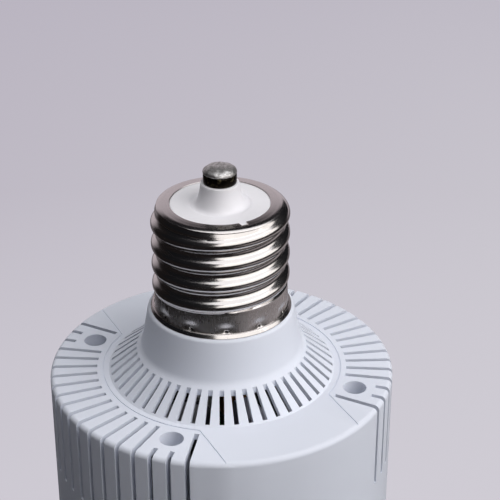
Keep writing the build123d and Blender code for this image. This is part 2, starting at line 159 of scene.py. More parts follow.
def shift(x, y, z):
    """A move in millimetres."""
    return Matrix.Translation(Vector((x, y, z)) * MM)


# %% [markdown]
# Round pieces are turned as on a lathe. A circle is added at the first station, and each further station is
# one extrusion of that edge, scaled to its radius and lifted to its height. The wall stays one clean grid
# of four-sided faces, which shades well. The spin operator or a Screw modifier would turn a drawn outline in
# the same way, but they need that outline as a piece first. An outline that comes back to where it began
# closes on itself, and one that ends on the axis is closed at its pole.

# %% Lathe
def turned_piece(name, stations, columns=96, loop=False, centre=(0.0, 0.0), cap=False):
    """Turns (radius, height) stations in mm. Radius 0 closes a pole, and cap fills the first ring."""
    start_clean()
    first_radius, first_height = stations[0]
    bpy.ops.mesh.primitive_circle_add(
        vertices=columns,
        radius=first_radius * MM,
        fill_type="NGON" if cap else "NOTHING",
        location=(centre[0] * MM, centre[1] * MM, first_height * MM),
    )
    piece = named(bpy.context.object, name)
    bpy.ops.object.transform_apply(location=True)
    edit_all()
    radius, height = first_radius, first_height
    for next_radius, next_height in stations[1:]:
        middle = (centre[0] * MM, centre[1] * MM, height * MM)
        if next_radius == 0:
            bpy.ops.transform.translate(value=(0, 0, 0))
            bpy.ops.mesh.extrude_edges_indiv()
            bpy.ops.mesh.merge(type="CENTER")
            bpy.ops.transform.translate(value=(0, 0, (next_height - height) * MM))
            break
        scale = next_radius / radius
        bpy.ops.mesh.extrude_edges_indiv()
        bpy.ops.transform.resize(value=(scale, scale, 1), center_override=middle)
        bpy.ops.transform.translate(value=(0, 0, (next_height - height) * MM))
        radius, height = next_radius, next_height
    bpy.ops.mesh.select_all(action="SELECT")
    if loop:
        bpy.ops.mesh.remove_doubles(threshold=0.001 * MM)
    bpy.ops.mesh.normals_make_consistent(inside=False)
    bpy.ops.object.mode_set(mode="OBJECT")
    return piece


def arc(centre, radius, start, end, steps):
    """Points of an arc in the (radius, height) plane, angles in degrees from the radius direction."""
    points = []
    for step in range(steps + 1):
        angle = math.radians(start + (end - start) * step / steps)
        points.append((centre[0] + radius * math.cos(angle), centre[1] + radius * math.sin(angle)))
    return points


def rows(start, end, spacing):
    """Points from start up to, but not including, end, evenly spaced."""
    length = math.dist(start, end)
    count = max(1, round(length / spacing))
    return [
        (start[0] + (end[0] - start[0]) * i / count, start[1] + (end[1] - start[1]) * i / count)
        for i in range(count)
    ]


# %% [markdown]
# The screw shell is one thin nickel-plated cup. Rollers press a round thread into it, the rim is rolled over
# the insulator, the lip flares out over the plastic neck, and twelve punch marks crimp the skirt to that
# neck. The thread could be a section swept along a helix, but a swept ridge can't fade into a plain wall as
# this one does. So the cup is turned plain, with a fine grid, and each of its points is then moved by a
# formula of its angle and height. These are the sizes that the formula needs, in millimetres and degrees.

# %% Shell: sizes
# The plain cup
sheet = 0.35
lip_radius = 20.2
lip_foot_radius = 20.0
skirt_bottom_radius = 19.25
skirt_top_radius = 18.95
skirt_top_z = flange_z + 27.9
shoulder_slope = 1.4
inner_wall_radius = 17.45

# The rolled rim, with the notch for the insulator's key
rim_inner_radius = 14.05
rim_flat_radius = 16.1
rim_roll = 2.2
merged_roll = 3.5
rim_form_height = 3.4
under_rim_slope = 0.9
rim_softness = 0.25
notch_angle = -90.0
notch_width = 1.9
notch_radius = 15.7

# The thread
thread_pitch = 6.35
crest_radius = 19.6
root_radius = 17.85
reference_crest_z = flange_z + 46.93
reference_crest_angle = 155.0
thread_start_angle = 65.0
thread_turns = 4
thread_end_angle = thread_start_angle + thread_turns * 360.0
fade_in = (thread_start_angle - 30.0, thread_start_angle + 50.0)
fade_out = (thread_end_angle - 60.0, thread_end_angle + 10.0)
crests_below = 3
thread_softness = 0.3

# The punch marks
punch_count = 12
punch_spacing = 360.0 / punch_count
first_punch_angle = 9.0
punch_angles = [first_punch_angle + punch_spacing * k for k in range(punch_count)]
punch_z = lip_z + 1.75
punch_reach = 6.0
pit_depth = 0.5
dent_depth = 0.28
nick_depth = 0.1
print("skirt in mm:", round(skirt_top_z - lip_z, 2), "turns of thread:", thread_turns)

# %% [markdown]
# The thread's crest and its valley are arcs of the same radius. Where a point lies between two crests says
# how far it rises, and the rise fades in above the skirt and out under the rim. The wall is then the larger
# of the plain cup and the thread, with the corner between them rounded, and never more than the rim's roll.

# %% Shell: the formula of the rolled form
def smooth_step(value, low, high):
    share = min(1.0, max(0.0, (value - low) / (high - low)))
    return share * share * (3 - 2 * share)


def soft_max(a, b, softness):
    """The larger of two sizes, with the corner between them rounded."""
    gap = max(softness - abs(a - b), 0.0) / softness
    return max(a, b) + gap * gap * softness / 4


def soft_min(a, b, softness):
    return -soft_max(-a, -b, softness)


def thread_radius(angle, z):
    """Radius of the rolled thread alone, with its ends faded."""
    height = crest_radius - root_radius
    quarter = thread_pitch / 4
    bend = ((height / 2) ** 2 + quarter**2) / height
    lead = (z - reference_crest_z) / thread_pitch - (angle - reference_crest_angle) / 360.0
    crest = round(lead)
    away = abs(lead - crest) * thread_pitch
    if away < quarter:
        rise = height - bend + math.sqrt(bend**2 - away**2)
    else:
        rise = bend - math.sqrt(bend**2 - (2 * quarter - away) ** 2)
    along = angle + 360.0 * (crest + crests_below)
    begun = smooth_step(along, *fade_in)
    ended = 1.0 - smooth_step(along, *fade_out)
    return root_radius + rise * begun * ended


def rim_limit(z, roll):
    """Radius of a roll that comes down from the rim's flat ring."""
    down = rim_z - z
    if down >= roll:
        return rim_flat_radius + roll
    return rim_flat_radius + math.sqrt(max(roll**2 - (roll - down) ** 2, 0.0))


def hollow(across, up, width, height):
    """A smooth hollow, 1 deep at its middle and almost 0 beyond twice its width and height."""
    return math.exp(-((across / width) ** 2) - (up / height) ** 2)


def punch_depth(angle, z):
    """Depth of the crimping marks: a small pit, a broad soft dent above it and a nick in the lip below."""
    depth = 0.0
    for punch in punch_angles:
        across = math.radians((angle - punch + 180.0) % 360.0 - 180.0) * skirt_bottom_radius
        if abs(across) > punch_reach:
            continue
        pit = hollow(across, z - punch_z, 0.5, 0.3)
        dent = hollow(across, z - punch_z - 0.9, 2.0, 1.3)
        nick = hollow(across, z - lip_z - 0.42, 0.28, 0.26)
        depth += pit_depth * pit + dent_depth * dent + nick_depth * nick
    return depth


def rolled_radius(angle, z, radius):
    """Where the rollers leave a point of the plain cup."""
    if z < skirt_top_z:
        plain = radius
    else:
        plain = max(root_radius, skirt_top_radius - (z - skirt_top_z) * shoulder_slope)
    if z > rim_z - rim_form_height:
        under_rim = rim_flat_radius + rim_roll - max(0.0, rim_z - rim_roll - z) * under_rim_slope
        plain = max(plain, min(under_rim, rim_limit(z, rim_roll)))
    formed = soft_max(plain, thread_radius(angle, z), thread_softness)
    return soft_min(formed, rim_limit(z, merged_roll), rim_softness) - punch_depth(angle, z)


# %% [markdown]
# The outline starts under the lip, runs up the outside and over the rim, and comes back down the inside, so
# the sheet has its real thickness. Only the outer wall is rolled. At the rim, the points of its inner edge
# are moved out where the insulator's key sits.

# %% Shell: turn the cup, then roll it
def widen(vertex, scale):
    """Moves a point out from the axis, or in to it."""
    vertex.co.x *= scale
    vertex.co.y *= scale


def make_screw_shell():
    foot = (lip_foot_radius, lip_z + 0.02)
    lip = [foot, (lip_radius - 0.04, lip_z + 0.06), (lip_radius, lip_z + 0.16)]
    lip += rows((lip_radius - 0.02, lip_z + 0.24), (19.76, lip_z + 1.1), 0.12)
    lip += arc((19.62, lip_z + 1.02), 0.16, 30, 100, 5)
    lip += [(19.42, lip_z + 1.16), (19.29, lip_z + 1.22)]
    skirt = rows((skirt_bottom_radius, lip_z + 1.4), (skirt_top_radius, skirt_top_z), 0.2)
    band = rows((skirt_top_radius, skirt_top_z), (skirt_top_radius, rim_z - merged_roll), 0.2)
    roll = arc((rim_flat_radius, rim_z - merged_roll), merged_roll, 0, 88, 20)
    ring = [(15.75, rim_z + 0.03), (15.6, rim_z + 0.045), (14.9, rim_z + 0.1)]
    ring += [(rim_inner_radius + 0.12, rim_z + 0.14), (rim_inner_radius, rim_z + 0.04)]
    ring += [(rim_inner_radius, rim_z - sheet)]
    inner_skirt_radius = skirt_top_radius - sheet
    inside = [(rim_flat_radius, rim_z - sheet), (17.3, rim_z - 1.2), (inner_wall_radius, rim_z - 3)]
    inside += [(inner_wall_radius, skirt_top_z), (inner_skirt_radius, skirt_top_z - 0.6)]
    inside += [(inner_skirt_radius, lip_z + 0.02), foot]
    outer = lip + skirt + band + roll
    shell = turned_piece("rolled_screw_shell", outer + ring + inside, columns=480, loop=True)
    formed_low = lip_z + 1.3
    for vertex in shell.data.vertices:
        x, y, z = (value / MM for value in vertex.co)
        radius = math.hypot(x, y)
        angle = math.degrees(math.atan2(y, x))
        on_outside = radius > rim_flat_radius - 0.01 and z > formed_low
        on_inner_skirt = abs(radius - inner_skirt_radius) < 0.01
        is_inner_wall = on_inner_skirt or radius < inner_wall_radius + 0.05 and z < rim_z - 0.9
        if z > rim_z - sheet - 0.01 and radius < rim_flat_radius - 0.01:
            across = math.radians(angle - notch_angle) * radius
            if abs(across) < notch_width / 2:
                radius = max(radius, notch_radius)
        elif on_outside and not is_inner_wall:
            radius = rolled_radius(angle, z, radius)
        elif radius > skirt_bottom_radius:
            radius -= punch_depth(angle, z)
        widen(vertex, radius / math.hypot(x, y))
    return smooth(shell, 40)


screw_shell = make_screw_shell()
print("shell faces:", len(screw_shell.data.polygons))

# %% [markdown]
# The insulator is moulded white thermoset. Its disc fills the rim, a shallow moat runs round the nose, and
# the nose rises in a hollow curve to the contact. All of that is one turned outline. A small key at its
# edge locks into the notch of the rim. A boolean could add it, but it would leave long thin faces, so the
# outermost points there are pulled out into the notch.

# %% Insulator
nose_top_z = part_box("base_insulator")[1].z / MM
face_z = rim_z - 0.05


def make_insulator():
    profile = [(1.65, nose_top_z - 2), (1.65, nose_top_z), (5.1, nose_top_z)]
    profile += arc((5.1, nose_top_z - 0.3), 0.3, 90, 0, 5)
    profile += [(5.48, face_z + 5.0), (5.72, face_z + 3.8), (5.97, face_z + 2.7), (6.24, face_z + 1.6)]
    profile += [(6.48, face_z + 0.8), (6.72, face_z + 0.25), (7.02, face_z - 0.12), (7.4, face_z - 0.34)]
    profile += [(7.8, face_z - 0.42), (8.2, face_z - 0.4), (8.5, face_z - 0.3), (8.7, face_z - 0.12)]
    profile += [(8.95, face_z - 0.02), (9.3, face_z), (11.5, face_z), (13.6, face_z), (13.95, face_z - 0.02)]
    profile += [(14.04, face_z - 0.1), (14.04, rim_z - 0.4), (14.0, rim_z - 5), (1.65, rim_z - 5)]
    profile += [(1.65, nose_top_z - 2)]
    piece = turned_piece("white_insulator", profile, columns=240, loop=True)
    for vertex in piece.data.vertices:
        x, y, z = (value / MM for value in vertex.co)
        radius = math.hypot(x, y)
        across = math.radians(math.degrees(math.atan2(y, x)) - notch_angle) * radius
        if radius > 13.7 and z > rim_z - 0.45 and abs(across) < notch_width / 2 - 0.1:
            widen(vertex, (notch_radius - 0.12) / radius)
    return smooth(piece, 50)


insulator = make_insulator()
print("insulator faces:", len(insulator.data.polygons))

# %% [markdown]
# The centre contact is a dark brass eyelet, and over it sits a low dome of solder. Both are turned. Hand-fed
# solder is never quite round. A noise modifier could bend it, but a few slow waves, written out, nudge the
# dome's points and leave its edge clean.

# %% Contact
cap_low, cap_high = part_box("solder_cap")


def make_eyelet():
    low = nose_top_z
    high = cap_low.z / MM
    profile = [(1.5, low + 0.01), (4.55, low + 0.01), (4.68, low + 0.12), (4.7, low + 0.35)]
    profile += [(4.7, high - 0.5), (4.66, high - 0.28), (4.6, high - 0.12), (4.6, high)]
    profile += [(1.5, high), (1.5, low + 0.01)]
    return smooth(turned_piece("eyelet", profile, loop=True), 40)


def make_solder_dome():
    low = cap_low.z / MM
    high = cap_high.z / MM
    dome_radius = 4.72
    dome_steps = 12
    rise = high - low - 0.5
    profile = [(2.0, low), (4.5, low), (4.7, low + 0.1), (4.77, low + 0.28), (dome_radius, low + 0.5)]
    for step in range(1, dome_steps):
        turn = step / dome_steps * math.pi / 2
        profile.append((dome_radius * math.cos(turn) ** 0.86, low + 0.5 + rise * math.sin(turn)))
    profile.append((0, high))
    piece = turned_piece("solder_dome", profile)
    for vertex in piece.data.vertices:
        x, y, z = (value / MM for value in vertex.co)
        if z > low + 0.3:
            wave = math.sin(1.1 * x + 0.7) * math.cos(0.9 * y - 0.4) + 0.6 * math.sin(2.3 * x - 1.7 * y)
            vertex.co.z -= 0.07 * MM * (1 + wave) * min(1.0, (z - low - 0.3) / 0.6)
    return smooth(piece, 50)


eyelet = make_eyelet()
solder_dome = make_solder_dome()
print("contact height in mm:", round(cap_high.z / MM - nose_top_z, 2))

# %% [markdown]
# The driver housing is one thin white moulding: neck, slotted cone, slotted flange and skirt. Its packed form
# is right already, as that of several other pieces is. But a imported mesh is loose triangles, which can only
# shade flat. So it is copied, its triangles are merged into one skin, and the copy is shaded smooth across
# its curves and sharp at its edges. The copy stands in for the node.

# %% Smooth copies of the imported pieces
def smooth_copy(node, name, degrees=30):
    start_clean()
    piece = nodes[node].copy()
    piece.data = nodes[node].data.copy()
    for key in list(piece.keys()):
        del piece[key]
    piece.parent = None
    bpy.context.scene.collection.objects.link(piece)
    pick(named(piece, name))
    edit_all()
    bpy.ops.mesh.remove_doubles(threshold=0.0005 * MM)
    bpy.ops.mesh.customdata_custom_splitnormals_clear()
    bpy.ops.object.mode_set(mode="OBJECT")
    return smooth(piece, degrees)


housing = smooth_copy("upper_housing", "driver_housing", 25)
print("housing faces:", len(housing.data.polygons))

# %% [markdown]
# Finishes are built from shader nodes, and their maths is written as plain Python. The class below wraps one
# socket, so that an expression such as 1 - mask * 0.3 adds the Math nodes that it needs. Any other kind of
# node comes from its method node, which takes the node's type, its settings and what its sockets get.

# %% Shader expressions
class Signal:
    """One output socket of a material, for use in expressions."""

    def __init__(self, tree, socket):
        self.tree = tree
        self.socket = socket

    def node(self, kind, settings=None, values=None, output=0):
        made = self.tree.nodes.new(kind)
        for key, value in (settings or {}).items():
            if key == "stops":
                set_stops(made.color_ramp, value)
            else:
                setattr(made, key, value)
        for key, value in (values or {}).items():
            feed(self.tree, value, made.inputs[key])
        return Signal(self.tree, made.outputs[output])

    def math(self, operation, *others):
        values = dict(enumerate((self,) + others))
        return self.node("ShaderNodeMath", {"operation": operation}, values)

    def __add__(self, other):
        return self.math("ADD", other)

    __radd__ = __add__

    def __mul__(self, other):
        return self.math("MULTIPLY", other)

    __rmul__ = __mul__

    def __sub__(self, other):
        return self.math("SUBTRACT", other)

    def __rsub__(self, other):
        return self.node("ShaderNodeMath", {"operation": "SUBTRACT"}, {0: other, 1: self})

    def __truediv__(self, other):
        return self.math("DIVIDE", other)

    def clamped(self):
        return self.node("ShaderNodeMath", {"operation": "ADD", "use_clamp": True}, {0: self, 1: 0.0})

    def axis(self, index):
        return self.node("ShaderNodeSeparateXYZ", None, {0: self}, output=index)

    def ramp(self, *stops):
        return self.node("ShaderNodeValToRGB", {"stops": stops}, {0: self})

    def vector(self, y, z):
        return self.node("ShaderNodeCombineXYZ", None, {0: self, 1: y, 2: z})

    def noise(self, scale, detail=2.0, roughness=0.5):
        values = {"Vector": self, "Scale": scale, "Detail": detail, "Roughness": roughness}
        return self.node("ShaderNodeTexNoise", None, values)

    def bump(self, strength, distance):
        values = {"Strength": strength, "Distance": distance, "Height": self}
        return self.node("ShaderNodeBump", None, values)


def feed(tree, value, socket):
    if isinstance(value, Signal):
        tree.links.new(value.socket, socket)
    elif isinstance(value, tuple) and socket.type == "RGBA":
        socket.default_value = (*value, 1.0)
    else:
        socket.default_value = value


def set_stops(ramp, stops):
    """Stops are (place, colour) pairs; a single number is a grey."""
    while len(ramp.elements) < len(stops):
        ramp.elements.new(0.5)
    for element, (place, colour) in zip(ramp.elements, stops):
        element.position = place
        shade = colour if isinstance(colour, tuple) else (colour,) * 3
        element.color = (*shade, 1.0)


# %% [markdown]
# A finish is a material with constant values, such as how metallic it is, and a paint function for what
# changes over the surface. Patterns are measured from the lamp's own origin, in metres, so a pattern keeps
# its real size on every piece.

# %% Finishes
def mix(mask, colour_off, colour_on):
    """Colour between two colours, by a mask. Sockets 6 and 7 and output 2 are the node's colour ones."""
    return mask.node(
        "ShaderNodeMix", {"data_type": "RGBA"}, {0: mask, 6: colour_off, 7: colour_on}, output=2
    )


def finish(name, paint, **plain):
    """A material: plain holds constant sockets, and paint gives those that change over the surface."""
    material = bpy.data.materials.new(name)
    material.use_nodes = True
    tree = material.node_tree
    shader = tree.nodes["Principled BSDF"]
    place = Signal(tree, tree.nodes.new("ShaderNodeTexCoord").outputs["Object"])
    for socket, value in {**plain, **paint(place)}.items():
        feed(tree, value, shader.inputs[socket.replace("_", " ")])
    print("finish:", name, "nodes:", len(tree.nodes))
    return material


def grain(place, size_mm, detail=2.0, roughness=0.5):
    """Noise whose lumps are about a given size in millimetres."""
    return place.noise(1000.0 / size_mm, detail, roughness)


def around(place):
    """Angle about the lamp's axis, in radians."""
    return place.axis(1).math("ARCTAN2", place.axis(0))


# %% [markdown]
# Nickel plate on drawn steel is a clean mirror with fine drawing lines along the axis. An anisotropic gloss
# could hint at them, but a fine relief shows the lines themselves. They are noise that is stretched tall:
# its coordinates are the angle, many times enlarged, and the height, hardly at all. They show most on the
# skirt, where the rollers never went. A slow cloud of tarnish varies the gloss. Each crimping pit is torn
# open, and the shade in it is painted: its colour is painted nearly black.

# %% Nickel
def paint_nickel(place):
    angle = around(place)
    height = place.axis(2)
    lines = (angle * 62.0).vector(height * 90.0, 0.0).noise(1.0, 3.0, 0.6)
    hairs = (angle * 240.0).vector(height * 160.0, 3.0).noise(1.0, 2.0, 0.6)
    below_thread = (((skirt_top_z + 0.1) * MM - height) * 900.0).clamped()
    above_lip = ((height - (lip_z + 1.0) * MM) * 2500.0).clamped()
    skirt = below_thread * above_lip
    cloud = grain(place, 5.0, 3.0)
    tint = mix(cloud, (0.60, 0.57, 0.56), (0.70, 0.67, 0.655))
    relief = lines * 0.7 + hairs * 0.3
    gloss = 0.13 + cloud * 0.07 + lines * 0.05 + skirt * 0.08
    # Painted shade: the colour goes nearly black in the middle of each crimping pit.
    from_first = angle - math.radians(first_punch_angle)
    aside = from_first.math("PINGPONG", math.radians(punch_spacing / 2)) * 36.0
    above = (height - punch_z * MM) * 2200.0
    pit_painted_shade = (1.3 - aside * aside - above * above).clamped()
    strength = 0.15 + skirt * 0.25
    return {
        "Base_Color": mix(pit_painted_shade, tint, (0.02, 0.018, 0.018)),
        "Roughness": gloss,
        "Normal": (relief * strength).bump(1.0, 0.00003),
    }


nickel = finish("nickel_plate", paint_nickel, Metallic=1.0)


# %% [markdown]
# The white mouldings differ a little. The insulator is a dense, clean white. The housing is cooler, with a
# fine spark texture that a mould gives its plastic, so that it shades softly and never glints.

# %% White mouldings
def paint_insulator(place):
    cloud = grain(place, 3.0, 3.0)
    return {
        "Base_Color": mix(cloud, (0.82, 0.805, 0.83), (0.86, 0.845, 0.87)),
        "Roughness": 0.42 + cloud * 0.1,
        "Normal": grain(place, 0.5, 2.0).bump(0.15, 0.00002),
    }


def paint_housing(place):
    spark = grain(place, 0.32, 2.0, 0.6)
    cloud = grain(place, 9.0, 2.0)
    return {
        "Base_Color": mix(cloud, (0.755, 0.785, 0.865), (0.775, 0.80, 0.88)),
        "Roughness": 0.5 + spark * 0.12,
        "Normal": spark.bump(0.35, 0.00003),
    }


white_insulator = finish("white_thermoset", paint_insulator, Specular_IOR_Level=0.45)
housing_plastic = finish("spark_textured_plastic", paint_housing, Specular_IOR_Level=0.4)


# %% [markdown]
# The contact has aged. The eyelet's brass is almost black where flux has burnt, with brown showing through,
# and the solder's dome is a mottled grey skin over bright metal. In both, a ramp turns a noise into patches
# with soft edges, which then set the colour, the gloss and the relief together, as real stains do.

# %% Contact finishes
def paint_eyelet(place):
    burnt = grain(place, 1.4, 4.0, 0.65).ramp((0.54, 0.0), (0.70, 1.0))
    colour = mix(burnt, (0.016, 0.013, 0.010), (0.15, 0.13, 0.07))
    return {"Base_Color": colour, "Roughness": 0.22 + burnt * 0.2, "Normal": burnt.bump(0.25, 0.00004)}


def paint_solder(place):
    spots = grain(place, 0.9, 4.0, 0.7).ramp((0.40, 0.0), (0.60, 1.0))
    colour = mix(spots, (0.34, 0.33, 0.32), (0.68, 0.67, 0.66))
    return {"Base_Color": colour, "Roughness": 0.48 - spots * 0.2, "Normal": spots.bump(0.4, 0.00005)}


dark_brass = finish("burnt_brass", paint_eyelet, Metallic=0.9)
solder = finish("aged_solder", paint_solder, Metallic=0.9)


# %% [markdown]
# Each piece wears its finish, rides on the lamp's one body and stands in for the imported piece of its kind.

# %% Dress the lamp's top
def painted(piece, material):
    piece.data.materials.clear()
    piece.data.materials.append(material)
    return piece


def fit_in(piece, slot, *stands_for):
    """Places a piece, or a group whose parts are painted already, in the frame."""
    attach(piece, "root")
    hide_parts(*stands_for)
    print(piece.name, "stands in for", *stands_for, "faces:", len(piece.data.polygons))


def wear(piece, material, slot, *stands_for):
    fit_in(painted(piece, material), slot, *stands_for)


wear(screw_shell, nickel, "nickel_shell", "screw_shell")
wear(insulator, white_insulator, "base_insulator", "base_insulator")
wear(eyelet, dark_brass, "contact_brass", "contact_eyelet")
wear(solder_dome, solder, "solder", "solder_cap")
wear(housing, housing_plastic, "housing_plastic", "upper_housing")

# %% [markdown]
# The rest of the lamp hides behind these white walls, but it's all there when a piece is lifted off. Boxes
# with rounded edges, cuts made with booleans and joined groups of painted parts are enough for it. The
# edges are rounded by the bevel operator and not in the shader, so that their outlines are soft too.

# %% Boxes and cuts
def box_at(name, low, high, bevel=0.0, segments=2):
    """A box between two corners in millimetres, with rounded edges."""
    start_clean()
    low = Vector(low)
    high = Vector(high)
    bpy.ops.mesh.primitive_cube_add(size=1, location=(low + high) / 2 * MM)
    piece = named(bpy.context.object, name)
    piece.scale = (high - low) * MM
    settle(piece)
    if bevel:
        edit_all()
        bpy.ops.mesh.bevel(offset=bevel * MM, segments=segments, affect="EDGES")
        bpy.ops.object.mode_set(mode="OBJECT")
        smooth(piece, 40)
    return piece


def node_box(node):
    """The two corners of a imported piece, in millimetres."""
    low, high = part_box(node)
    return low / MM, high / MM


def upright_axis(low, high):
    """Where the upright axis of a box stands."""
    return (low.x + high.x) / 2, (low.y + high.y) / 2


def cut(piece, cutter):
    cutting = piece.modifiers.new("cut", "BOOLEAN")
    cutting.operation = "DIFFERENCE"
    cutting.object = cutter
    apply_modifiers(piece)
    bpy.data.objects.remove(cutter, do_unlink=True)


def lay_along_x(piece, centre):
    """Lays a piece that was turned about the upright axis onto its side, with its middle at a place."""
    piece.data.transform(shift(*centre) @ Matrix.Rotation(math.radians(90), 4, "Y"))


# %% [markdown]
# Bought parts come in a few plain materials. One function paints all the plastics, lacquers and sleeves: a
# colour that drifts a little, a gloss, and a fine grain. Another paints the metals, with drawing lines that
# run along the axis, or turning lines that run round it. Each could have its own nodes, but then a change
# to all of them would have to be made many times.

# %% Finishes for the inside
def moulded(name, colour, gloss, size_mm=0.6, depth=0.3, **plain):
    def paint(place):
        cloud = grain(place, 6.0, 3.0)
        fine = grain(place, size_mm, 2.0)
        darker = tuple(0.88 * part for part in colour)
        return {
            "Base_Color": mix(cloud, darker, colour),
            "Roughness": gloss + fine * 0.08,
            "Normal": fine.bump(depth, 0.00003),
        }

    return finish(name, paint, **plain)


def drawn_metal(name, colour, gloss, lines="along", metal=1.0):
    def paint(place):
        height = place.axis(2)
        if lines == "along":
            streak = (around(place) * 110.0).vector(height * 30.0, 0.0).noise(1.0, 3.0, 0.6)
        else:
            radius = (place.axis(0).math("POWER", 2.0) + place.axis(1).math("POWER", 2.0)).math("SQRT")
            streak = (radius * 5200.0).vector(around(place) * 1.5, 0.0).noise(1.0, 3.0, 0.6)
        cloud = grain(place, 12.0, 2.0)
        darker = tuple(0.9 * part for part in colour)
        return {
            "Base_Color": mix(cloud, darker, colour),
            "Roughness": gloss + streak * 0.14,
            "Normal": streak.bump(0.4, 0.00003),
        }

    return finish(name, paint, Metallic=metal)


aluminium = drawn_metal("drawn_aluminium", (0.78, 0.79, 0.80), 0.4, metal=0.7)
turned_aluminium = drawn_metal("turned_aluminium", (0.78, 0.79, 0.80), 0.34, "round", 0.75)
zinc_steel = drawn_metal("zinc_steel", (0.56, 0.57, 0.60), 0.22)
tin = drawn_metal("tinned_metal", (0.66, 0.66, 0.65), 0.28)
copper = moulded("enamelled_copper", (0.55, 0.24, 0.09), 0.25, Metallic=0.85)
board_lacquer = moulded("white_board_lacquer", (0.83, 0.83, 0.80), 0.3, Coat_Weight=0.2)
opal = moulded("opal_plastic", (0.82, 0.83, 0.84), 0.4, Subsurface_Weight=0.25, Subsurface_Scale=0.004)
chip_frame = moulded("chip_frame", (0.84, 0.84, 0.81), 0.35)
phosphor = moulded("phosphor", (0.86, 0.62, 0.10), 0.5, 0.15, 0.5)
black_sleeve = moulded("black_sleeve", (0.022, 0.022, 0.028), 0.28)
film_box = moulded("pale_box", (0.60, 0.60, 0.72), 0.25)
ferrite = moulded("ferrite", (0.045, 0.045, 0.05), 0.55, 0.4, 0.6)
brown_tape = moulded("brown_tape", (0.34, 0.17, 0.07), 0.35)
black_plastic = moulded("black_plastic", (0.02, 0.02, 0.02), 0.4)
nylon = moulded("natural_nylon", (0.76, 0.76, 0.72), 0.45)
blue_lacquer = moulded("blue_lacquer", (0.03, 0.09, 0.30), 0.22, Coat_Weight=0.3)
red_sleeve = moulded("red_insulation", (0.42, 0.02, 0.02), 0.4)
white_sleeve = moulded("white_insulation", (0.76, 0.76, 0.73), 0.4)


# %% [markdown]
# The driver's board is green lacquer over copper. Tracks could be modelled, but they are far thinner than
# anything else here, so they are bands of a smooth noise: where the noise is close to a few set values,
# copper lies under the lacquer and lifts it a little.

# %% Circuit board finish
def paint_board(place):
    field = grain(place, 14.0, 1.0)
    track = (field * 7.0).math("FRACT").ramp((0.36, 0.0), (0.40, 1.0), (0.60, 1.0), (0.64, 0.0))
    return {
        "Base_Color": mix(track, (0.012, 0.085, 0.035), (0.03, 0.16, 0.06)),
        "Roughness": 0.26 + grain(place, 1.0) * 0.08,
        "Normal": track.bump(0.5, 0.00005),
    }


green_board = finish("green_circuit_board", paint_board, Coat_Weight=0.2)


# %% [markdown]
# Every screw has a pan head with a cross recess. The recess could be painted on, but cut by two crossed
# boxes it holds a real shadow. The screw is made once for each circle, with its seat at the origin, and
# copied round. The copies are turned by odd angles, as screws are when they are driven home.

# %% Screws
def make_screw(head_radius, head_height, shank_radius, grip):
    edge = 0.45 * head_height
    profile = [(0.7 * shank_radius, -grip), (shank_radius, 0.5 * shank_radius - grip)]
    profile += [(shank_radius, 0.0), (head_radius - 0.1, 0.0), (head_radius, 0.1), (head_radius, edge)]
    flat_radius = 0.45 * head_radius
    steps = 6
    for step in range(1, steps):
        angle = step / steps * math.pi / 2
        radius = flat_radius + (head_radius - flat_radius) * math.cos(angle)
        profile.append((radius, edge + (head_height - edge) * math.sin(angle)))
    profile += [(flat_radius, head_height), (0, head_height)]
    screw = turned_piece("screw", profile, columns=28, cap=True)
    arm = 0.62 * head_radius
    half = 0.13 * head_radius
    low = 0.4 * head_height
    for reach, width in ((arm, half), (half, arm)):
        cut(screw, box_at("driver_bit", (-reach, -width, low), (reach, width, head_height + 1)))
    return smooth(screw, 35)


def screw_circle(name, node, head, shank, radius, first_angle, seat, downward=False):
    """Replaces a node of screws by modelled ones on the same circle."""
    low, high = node_box(node)
    if downward:
        grip = high.z - seat
        flip = Matrix.Rotation(math.radians(180), 4, "X")
    else:
        grip = seat - low.z
        flip = Matrix.Identity(4)
    screw = make_screw(head[0], head[1], shank, grip)
    screws = []
    for index in range(screws_per_circle):
        turn = turn_about_axis(first_angle + index * 360 / screws_per_circle)
        place = shift(radius, 0, seat)
        spin = turn_about_axis(17.0 * index + 8.0)
        screws.append(copy_at(screw, turn @ place @ flip @ spin))
    bpy.data.objects.remove(screw, do_unlink=True)
    wear(join(screws, name), zinc_steel, "screw_steel", node)


screws_per_circle = 4
large_head = (3.0, 2.4)
small_head = (2.75, 2.0)
plate_top = node_box("mounting_plate")[1].z
well_floor = plate_top + 4.0
board_top = node_box("driver_board")[1].z
cover_seat = 2.6
screw_circle("long_screws", "housing_screws", large_head, 1.6, 40.4, 45.0, well_floor)
screw_circle("column_fixing_screws", "column_screws", small_head, 1.3, 30.0, 45.0, plate_top)
screw_circle("board_fixing_screws", "board_screws", small_head, 1.3, 34.0, 0.0, board_top)
screw_circle("cover_fixing_screws", "end_screws", small_head, 1.3, 30.0, 45.0, cover_seat, downward=True)

# %% [markdown]
# The column is an extrusion, so its lines run up it, and the plate is turned, so its lines run round. The
# opal cover closes the end that the lamp stands on. Their packed forms are right, so they are smooth copies.
# The twelve LED boards are flat, and flat shading suits them, so they are only painted.

# %% Column, plate, boards and cover
sides = range(1, 13)
for node, name, degrees, material, slot in (
    ("heat_sink", "extruded_column", 20, aluminium, "aluminium"),
    ("mounting_plate", "turned_plate", 30, turned_aluminium, "aluminium"),
    ("driver_board", "driver_circuit_board", 30, green_board, "circuit_board"),
    ("board_spacers", "hex_spacers", 30, nylon, "white_plastic"),
    ("end_cover", "opal_cover", 30, opal, "opal_cover"),
    ("end_board", "round_light_board", 30, board_lacquer, "led_board"),
):
    wear(smooth_copy(node, name, degrees), material, slot, node)
for side in sides:
    painted(nodes[f"led_board_{side:02d}"], board_lacquer)

